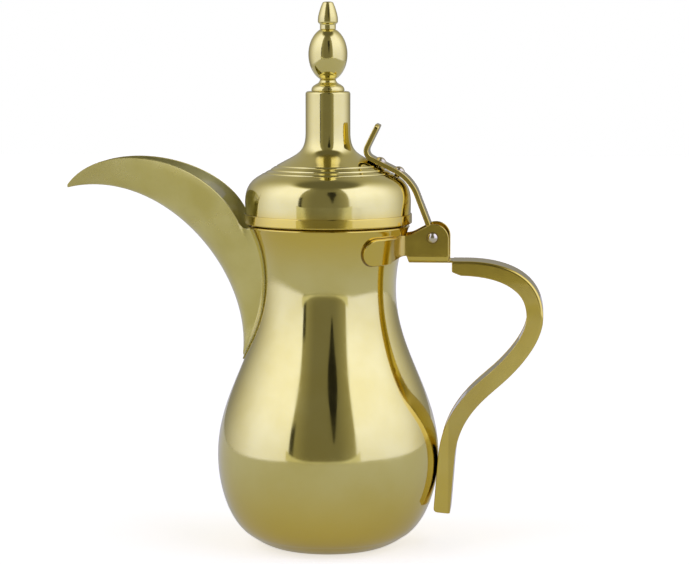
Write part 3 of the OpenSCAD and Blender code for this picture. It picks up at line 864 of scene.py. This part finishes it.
def strap_inner_points():
    """Points for the pattern's inside, on rows that follow its bends. Those that
    lie past its outline are left out later."""
    rows, far = [], 34
    bend = np.linspace(FLOOR_HALF, FLOOR_HALF + BEND_R * math.pi / 2, 8)
    above = np.arange(bend[-1] + 1.4, far, 1.4)
    ear_rows = np.concatenate([np.linspace(0, FLOOR_HALF, 5)[:-1], bend, above])
    pad_columns = np.arange(FIRST_S, STEP_S - 0.6, 0.9)
    arm_columns = np.arange(STEP_S + 0.6, ARM_X, 0.9)
    step_columns = STEP_S + np.array([-0.35, -0.3, 0.3, 0.35])
    for s in np.concatenate([pad_columns, step_columns, arm_columns]):
        rows.extend((s, a) for a in np.arange(pattern_a(PAD_Z - PAD_H / 2) + 0.6, far, 1.2))
    for s in np.arange(ARM_X + 0.5, HANDLE_X, 1.5):
        rows.extend((s, a) for a in ear_rows)
    fold = np.linspace(WEB_HALF, WEB_HALF + FOLD_R * math.pi / 2, 6)
    flanges = np.arange(fold[-1] + 1.5, far, 1.5)
    web_rows = np.concatenate([np.linspace(0, WEB_HALF, 6)[:-1], fold, flanges])
    for s in np.linspace(HANDLE_X + 0.05, HANDLE_X + handle_line.length, 200)[:-1]:
        rows.extend((s, a) for a in web_rows)
    rows = np.array(rows)
    other = rows[rows[:, 1] > 1e-6] * (1, -1)
    return np.concatenate([rows, other])


def build_strap():
    rows = strap_inner_points()
    part = sheet(strap_outline(), place_strap, strap_thickness, edge_r=0.5, inner_points=rows)
    piece("bracket_and_handle", part, "pot", ["handle_frame"], golden)


def on_line(line, s, a, shift=0.0):
    """A point and a normal of a strip that follows a line, moved to its right by shift."""
    right = line.right(s)
    p = line.at(s) + right * shift
    return np.array([p[0], a, p[1]]), np.array([right[0], 0, right[1]])


def build_liner():
    half = STRAP_W / 2 - STRAP - 0.05
    thick = 1.2
    start, end = 6.0, handle_line.length - 1.0

    def place(s, a):
        return on_line(handle_line, s, a, channel_depth(s) - STRAP / 2 - thick / 2 - 0.2)

    outline = np.array([(start, -half), (end, -half), (end, half), (start, half)])
    grid = [(s, a) for s in np.linspace(start, end, 190) for a in np.linspace(-half, half, 9)]
    part = sheet(outline, place, thick, edge_r=0.15, inner_points=grid, step=1.2)
    piece("handle_inner_strip", part, "pot", ["handle_liner"], golden)


# ---- Hinge ----

LEVER_W, LEVER_T = 17.0, 2.6
TAB_END = np.array([28, 233.3])
TAB_CORNER = np.array([19.9, 216.8])
KNEE = np.array([45.8, 203.9])
EYE = np.array([PIN_X, PIN_Z])
EYE_R = 4.5
PIN_R = 2.2


def corner_curve(a, b, c, d, n):
    """The corner b of a path a-b-c, rounded by a curve that starts d before it."""
    p, q = b + d * unit(a - b), b + d * unit(c - b)
    return bezier(p, p + (b - p) * 0.6, q + (b - q) * 0.6, q, n)


lever_line = Line(chain(
    [TAB_END], [TAB_END + (TAB_CORNER - TAB_END) * 0.3],
    corner_curve(TAB_END, TAB_CORNER, KNEE, 5, 24),
    corner_curve(TAB_CORNER, KNEE, EYE, 9, 36),
    [EYE + (KNEE - EYE) * 0.5], [EYE + (KNEE - EYE) * 0.08],
))


def build_lever():
    half = LEVER_W / 2
    hole_r = PIN_R + 0.07
    end = lever_line.length

    def place(s, a):
        return on_line(lever_line, s, a)

    outline = softened([(0, -half), (end, -half), (end, half), (0, half)], {0: 3.2, 3: 3.2}, 10)
    grid = [(s, a) for s in np.linspace(0, end, 110) for a in np.linspace(-half, half, 9)]
    strip = sheet(outline, place, LEVER_T, edge_r=0.55, inner_points=grid, step=0.8)
    section = [(hole_r, -half), (EYE_R, -half), (EYE_R, half), (hole_r, half)]
    barrel = softened(section, {0: 0.3, 1: 0.6, 2: 0.6, 3: 0.3})
    turn = Matrix.Translation((PIN_X, 0, PIN_Z)) @ Matrix.Rotation(math.pi / 2, 4, "X")
    part = joined(strip, placed(lathe(barrel, 64), turn))
    piece("thumb_lever", part, "lid", ["lid_lever"], golden)


def domed_outline(r, h, shank_r, shank):
    """A domed head of radius r and height h on a shank that reaches down."""
    ball = (r * r + h * h) / (2 * h)
    angles = np.linspace(0, math.asin(r / ball), 16)
    top = [(ball * math.sin(t), h - ball + ball * math.cos(t)) for t in angles]
    outline = chain(top, [(r, -0.15), (shank_r, -0.15), (shank_r, -shank), (0, -shank)])
    n = len(top)
    return softened(outline, {n - 1: 0.35, n: 0.12})


RIVET_X = (28.9, 39.1)
RIVET_R = 3.1


def build_rivets():
    along = unit(KNEE - TAB_CORNER)
    tilt = math.atan2(-along[1], along[0])
    parts = []
    for x in RIVET_X:
        p = TAB_CORNER + along * (x - TAB_CORNER[0]) / along[0]
        turn = Matrix.Translation((p[0], 0, p[1])) @ Matrix.Rotation(tilt, 4, "Y")
        head = Matrix.Translation((0, 0, LEVER_T / 2))
        tail = [(0, -4.2), (2.8, -4.2), (2.8, -5.2), (2.0, -5.6), (0, -5.6)]
        parts.append(placed(lathe(domed_outline(RIVET_R, 1.7, 1.5, 6.0), 48), turn @ head))
        parts.append(placed(lathe(softened(tail, {1: 0.2, 2: 0.4, 3: 0.4}), 48), turn))
    piece("lever_rivet_pair", joined(*parts), "lid", ["lever_rivets"], steel)


def build_pin():
    half = STRAP_W / 2
    head = lathe(domed_outline(PIN_HEAD_R, 1.5, PIN_R, half), 64)
    middle, out = Matrix.Translation((PIN_X, 0, PIN_Z)), Matrix.Translation((0, 0, half))
    near, far = (middle @ Matrix.Rotation(a, 4, "X") @ out for a in (math.pi / 2, -math.pi / 2))
    part = joined(placed(head, near), placed(head, far))
    piece("hinge_rod", part, "pot", ["hinge_pin"], steel)


# ---- Lid ----

DOME_R = 45.7
BAND_R, BAND_H = 46.3, 5.4
BAND_Z = MOUTH_Z + 0.8
CHIMNEY_R, CHIMNEY_Z = 12.3, 251.2
COLLAR_R = 40.4
GROOVES = (28.6, 32.0, 35.0)


def dome_side():
    """The dome's outer outline from the chimney's foot down, with its grooves pressed in."""
    smooth = chain(
        bezier((CHIMNEY_R, 229.1), (CHIMNEY_R, 215.5), (18.4, 217.3), (31.2, 208.75), 200),
        bezier((31.2, 208.75), (37.8, 204.3), (DOME_R, 203.4), (DOME_R, 190.4), 160),
    )
    dip = np.zeros(len(smooth))
    for r in GROOVES:
        off = smooth[:, 0] - r
        dip += 0.42 * np.exp(-((off / 0.5) ** 2)) - 0.10 * np.exp(-((off / 1.3) ** 2))
    pressed = moved(smooth, dip)
    near_groove = np.min(np.abs(smooth[:, :1] - np.array(GROOVES)), axis=1) < 1.8
    keep = near_groove | (np.arange(len(smooth)) % 3 == 0)
    return pressed[keep], smooth[::6]


def build_lid():
    outer, plain = dome_side()
    inner = moved(chain([(CHIMNEY_R, CHIMNEY_Z - 2)], plain, [(DOME_R, BAND_Z + 1)]), 1.0)
    hem_z = BAND_Z + 0.8
    outline = chain(
        [(0, CHIMNEY_Z), (CHIMNEY_R - 1.5, CHIMNEY_Z)],
        arc((CHIMNEY_R - 1.5, CHIMNEY_Z - 1.5), 1.5, 90, 0, 8), outer,
        [(DOME_R - 0.19, hem_z + 0.5), (DOME_R - 0.2, hem_z), (DOME_R - 1.2, hem_z)], inner[::-1],
        [(CHIMNEY_R - 1.5, CHIMNEY_Z - 1), (0, CHIMNEY_Z - 1)],
    )
    piece("lid_spun", lathe(outline, 224), "lid", ["lid_dome"], brass)


def build_band():
    lip, z0, z1 = DOME_R - 2.6, BAND_Z, BAND_Z + BAND_H
    outline = chain(
        [(lip, z0)], arc((BAND_R - 0.7, z0 + 0.7), 0.7, 270, 360, 8),
        bezier((BAND_R, z1 - 0.7), (BAND_R, z1 - 0.3), (BAND_R - 0.15, z1), (BAND_R - 0.45, z1), 6),
        [(DOME_R, z1), (DOME_R - 0.2, z0 + 0.8), (lip, z0 + 0.8)],
    )
    piece("lid_hem_band", lathe(outline, 224), "lid", ["lid_band"], golden)


def build_collar():
    t = 0.9
    z0, z1 = BAND_Z + 0.8, BAND_Z + 0.8 + t
    low, flange = MOUTH_Z - 8, DOME_R - 1.3
    outline = [
        (COLLAR_R - t, low), (COLLAR_R, low), (COLLAR_R, z0),
        (flange, z0), (flange, z1), (COLLAR_R - t, z1),
    ]
    soft = softened(outline, {0: 0.3, 1: 0.3, 2: 0.5, 3: 0.3, 4: 0.3, 5: 0.8})
    piece("lid_sleeve", lathe(soft, 160), "lid", ["lid_collar"], brass)


# ---- Finial ----

BULB_R, BULB_Z, BULB_CUT = 10.7, 271.3, 13.7
TIP_Z = 300.0
NUT_Z, NUT_H = CHIMNEY_Z - 5.2, 3.2
STUD_R = 2.0


def build_finial():
    z0, top = CHIMNEY_Z, BULB_Z - BULB_CUT
    base = softened(chain(
        [(STUD_R, z0), (8.8, z0)],
        bezier((9.1, z0 + 0.4), (9.1, z0 + 3.8), (5.2, z0 + 3.8), (4.9, z0 + 5.2), 24),
        [(4.5, top - 0.8), (4.5, top), (STUD_R, top)],
    ), {1: 0.25})
    piece("finial_foot", lathe(base, 96), "lid", ["finial_base"], brass)

    z = np.linspace(-BULB_CUT, BULB_CUT, 49)
    side = np.stack([BULB_R * np.sqrt(1 - (z / 14.8) ** 2), BULB_Z + z], 1)
    low = BULB_Z + BULB_CUT
    bulb = softened(chain([(STUD_R, top)], side, [(STUD_R, low)]), {1: 0.3, len(side): 0.3})
    piece("finial_ball", lathe(bulb, 128), "lid", ["finial_bulb"], brass)

    tip = chain(
        [(0, low), (4.4, low), (4.3, low + 2.6), (5.5, low + 3.6), (5.5, low + 5.6)],
        bezier((5.4, low + 6.6), (4.9, low + 9.5), (3.6, low + 13), (3.1, TIP_Z - 1), 20),
        bezier((3, TIP_Z - 0.8), (2.8, TIP_Z - 0.2), (1.8, TIP_Z), (0, TIP_Z), 12),
    )
    tip = softened(tip, {1: 0.2, 2: 0.5, 3: 0.6, 4: 0.6})
    piece("finial_point", lathe(tip, 96), "lid", ["finial_tip"], brass)

    z0, z1 = NUT_Z - 1.5, low + 6.5
    rod = softened([(0, z0), (STUD_R, z0), (STUD_R, z1), (0, z1)], {1: 0.4, 2: 0.3})
    piece("finial_rod", lathe(rod, 48), "lid", ["finial_stud"], steel)
    z0, z1 = NUT_Z + NUT_H, NUT_Z + NUT_H + 1
    ring = softened([(STUD_R, z0), (4.5, z0), (4.5, z1), (STUD_R, z1)], {1: 0.2, 2: 0.2})
    piece("finial_ring", lathe(ring, 48), "lid", ["finial_washer"], steel)


def build_nut():
    """Hexagon nut, 7 mm across its flats, with its edges bevelled."""
    r = 3.5 / math.cos(math.radians(30)) * MM
    bm = bmesh.new()
    bmesh.ops.create_cone(bm, cap_ends=True, segments=6, radius1=r, radius2=r, depth=NUT_H * MM)
    bmesh.ops.translate(bm, verts=bm.verts, vec=(0, 0, (NUT_Z + NUT_H / 2) * MM))
    bmesh.ops.bevel(bm, geom=list(bm.edges), offset=0.3 * MM, segments=2, affect="EDGES", profile=0.5)
    mesh = bpy.data.meshes.new("finial_hexagon")
    bm.to_mesh(mesh)
    bm.free()
    shown("finial_hexagon", mesh, "lid", ["finial_nut"], steel)


# ---- Camera ----

CAMERA_AZIMUTH = 5.5


def make_camera():
    """The photograph's view: from 1.25 m, a little to the handle's side and 283 mm up."""
    distance, height, azimuth = 1.25, 0.2829, math.radians(CAMERA_AZIMUTH)
    # It looks down by its pitch and a little past the pot's axis.
    pitch, aside = math.radians(6.25), math.radians(0.41573)
    data = bpy.data.cameras.new("camera")
    data.lens, data.sensor_width, data.sensor_fit = 118.8, 36, "HORIZONTAL"
    ob = bpy.data.objects.new("camera", data)
    scene.collection.objects.link(ob)
    ob.location = (distance * math.sin(azimuth), -distance * math.cos(azimuth), height)
    level = Vector((-math.sin(azimuth - aside), math.cos(azimuth - aside), 0))
    aim = level * math.cos(pitch) + Vector((0, 0, -math.sin(pitch)))
    ob.rotation_euler = aim.to_track_quat("-Z", "Y").to_euler()
    scene.camera = ob


# ---- Studio ----

class WorldNodes(Nodes):
    """The same short way, for the world's node tree."""

    def __init__(self, name):
        self.world = bpy.data.worlds.new(name)
        self.world.use_nodes = True
        self.tree = self.world.node_tree
        self.tree.nodes.clear()


def layered(n, below, mask, value):
    """The value, a number or a socket, laid over what is below, where the mask is 1."""
    node = n.add("Mix", {0: mask, 2: below}, data_type="FLOAT")
    if isinstance(value, (int, float)):
        node.inputs[3].default_value = value
    else:
        n.link(value, node.inputs[3])
    return node.outputs[0]


def make_world():
    """A light tent, as brightness by direction in degrees: azimuth grows from the
    camera to the handle's side, elevation upwards. The numbers are the directions
    at which each light begins and ends."""
    n = WorldNodes("studio")
    way = n.add("TexCoord").outputs["Generated"]
    x, y, z = n.add("SeparateXYZ", {0: way}).outputs
    front = times(n, y, -1.0)
    angle = calc(n, "ARCTAN2", x, front)
    azimuth = calc(n, "SUBTRACT", times(n, angle, 180 / math.pi), CAMERA_AZIMUTH)
    elevation = times(n, calc(n, "ARCSINE", z), 180 / math.pi)
    # Dim light: the gap between the two panels is darkest in its middle.
    aside = calc(n, "ABSOLUTE", calc(n, "ADD", azimuth, 6.0))
    gap = smooth_step(n, aside, 14, 38, 0.18, 0.32)
    behind = smooth_step(n, elevation, 0, 20, 0.26, 0.38)
    low_light = layered(n, gap, smooth_step(n, aside, 90, 150), behind)
    light = layered(n, low_light, smooth_step(n, elevation, 52, 74), 0.13)
    # The two bright panels.
    level = smooth_step(n, elevation, -10, 38, 0.90, 1.16)
    top = smooth_step(n, elevation, 68, 57)
    left = times(n, window(n, azimuth, -75, -42, 80, 1.6), top)
    right = times(n, window(n, azimuth, 30, 78, 1.6, 75), top)
    light = layered(n, light, left, level)
    light = layered(n, light, right, level)
    # A dark upright strip stands at the left panel's inner edge.
    strip = window(n, azimuth, -41, -37, 0.8, 0.8)
    strip = times(n, strip, smooth_step(n, elevation, 26, 18))
    light = layered(n, light, strip, 0.04)
    panels = calc(n, "MAXIMUM", left, right)
    tint = mixed(n, panels, (1.0, 0.95, 0.80), (0.98, 1.01, 1.70))
    # The camera itself sees plain white.
    seen = n.add("LightPath").outputs["Is Camera Ray"]
    tint = mixed(n, seen, tint, (1.0, 1.0, 1.0))
    light = layered(n, light, seen, 1.0)
    back = n.add("Background", {"Strength": light, "Color": tint})
    n.output(back.outputs[0], "OutputWorld")
    scene.world = n.world


def staged(name, corners, material):
    """A flat face of the stage."""
    mesh = bpy.data.meshes.new(name)
    mesh.from_pydata(corners, [], [list(range(len(corners)))])
    mesh.materials.append(material)
    ob = bpy.data.objects.new(name, mesh)
    scene.collection.objects.link(ob)
    return ob


def plane(name, x0, x1, y0, y1, z, material):
    """A level rectangle of the stage."""
    return staged(name, [(x0, y0, z), (x1, y0, z), (x1, y1, z), (x0, y1, z)], material)


def pale_shader(n, colour, glow):
    """Matt paint that also glows a little."""
    light = {"Emission_Color": (1, 1, 1, 1), "Emission_Strength": glow}
    return n.add("BsdfPrincipled", Base_Color=(*colour, 1), Roughness=0.9, **light).outputs[0]


def paint(name, colour, glow):
    """A material of matt, glowing paint."""
    n = Nodes(name)
    n.output(pale_shader(n, colour, glow))
    return n.material


def card(name, outline, distance, azimuth, grey, glow):
    """An upright card in front of the pot, seen only in reflections. The outline
    is the place along the card and the height of its corners."""
    turn = math.radians(azimuth)
    across = np.array([math.cos(turn), math.sin(turn), 0])
    foot = distance * np.array([math.sin(turn), -math.cos(turn), 0])
    corners = [tuple(foot + w * across + (0, 0, z)) for w, z in outline]
    ob = staged(name, corners, paint(name + "_paint", (grey, grey, grey), glow))
    ob.visible_camera = False
    ob.visible_shadow = False


TABLE_LEFT, TABLE_RIGHT, TABLE_FADE = 0.58, 1.0, 0.3
TABLE_FRONT, TABLE_BACK, FRONT_FADE = -1.13, 1.6, 0.12


def table_paint():
    """Grey paper that fades out towards its edges."""
    n = Nodes("table_paint")
    x, y, _ = n.add("SeparateXYZ", {0: n.add("TexCoord").outputs["Object"]}).outputs
    across = window(n, x, -TABLE_LEFT, TABLE_RIGHT, TABLE_FADE, TABLE_FADE)
    deep = smooth_step(n, y, TABLE_FRONT, TABLE_FRONT + FRONT_FADE)
    kept = times(n, across, deep)
    mix = n.add("MixShader", {0: kept})
    n.link(n.add("BsdfTransparent").outputs[0], mix.inputs[1])
    n.link(pale_shader(n, (0.5, 0.5, 0.45), 0.2), mix.inputs[2])
    n.output(mix.outputs[0])
    return n.material


def make_studio():
    """The floor takes the pot's shadow and the table, just below it, is what the
    metal reflects. Sizes are in metres."""
    make_world()
    floor = plane("floor", -4, 4, -4, 4, -0.0002, paint("floor_paint", (0.88, 0.85, 0.66), 0.6))
    floor.visible_glossy = False
    floor.visible_diffuse = False
    left, right = -TABLE_LEFT - TABLE_FADE, TABLE_RIGHT + TABLE_FADE
    table = plane("table", left, right, TABLE_FRONT, TABLE_BACK, -0.0004, table_paint())
    table.visible_camera = False
    table.visible_shadow = False
    # The photographer's stand widens upwards, on both sides of its middle.
    half = [(0.004, 0.3), (0.02, 0.36), (0.09, 0.78), (0.14, 0.95), (0.14, 1.5)]
    stand = half + [(-w, z) for w, z in half[::-1]]
    card("stand", stand, distance=1.2, azimuth=CAMERA_AZIMUTH + 6, grey=0.02, glow=0)
    # The front edge of the table's paper curls up at its sides.
    reach = 0.9
    curl = [(x, 0.022 + 0.11 * (x / 0.8) ** 4) for x in np.linspace(reach, -reach, 61)]
    paper_edge = [(-reach, 0), (reach, 0)] + curl
    card("paper_edge", paper_edge, distance=1.15, azimuth=0, grey=0.5, glow=0.45)


build_body()
build_base()
build_spout()
build_strap()
build_liner()
build_lever()
build_rivets()
build_pin()
build_lid()
build_band()
build_collar()
build_finial()
build_nut()
make_camera()
make_studio()
scene.view_settings.view_transform = "Standard"
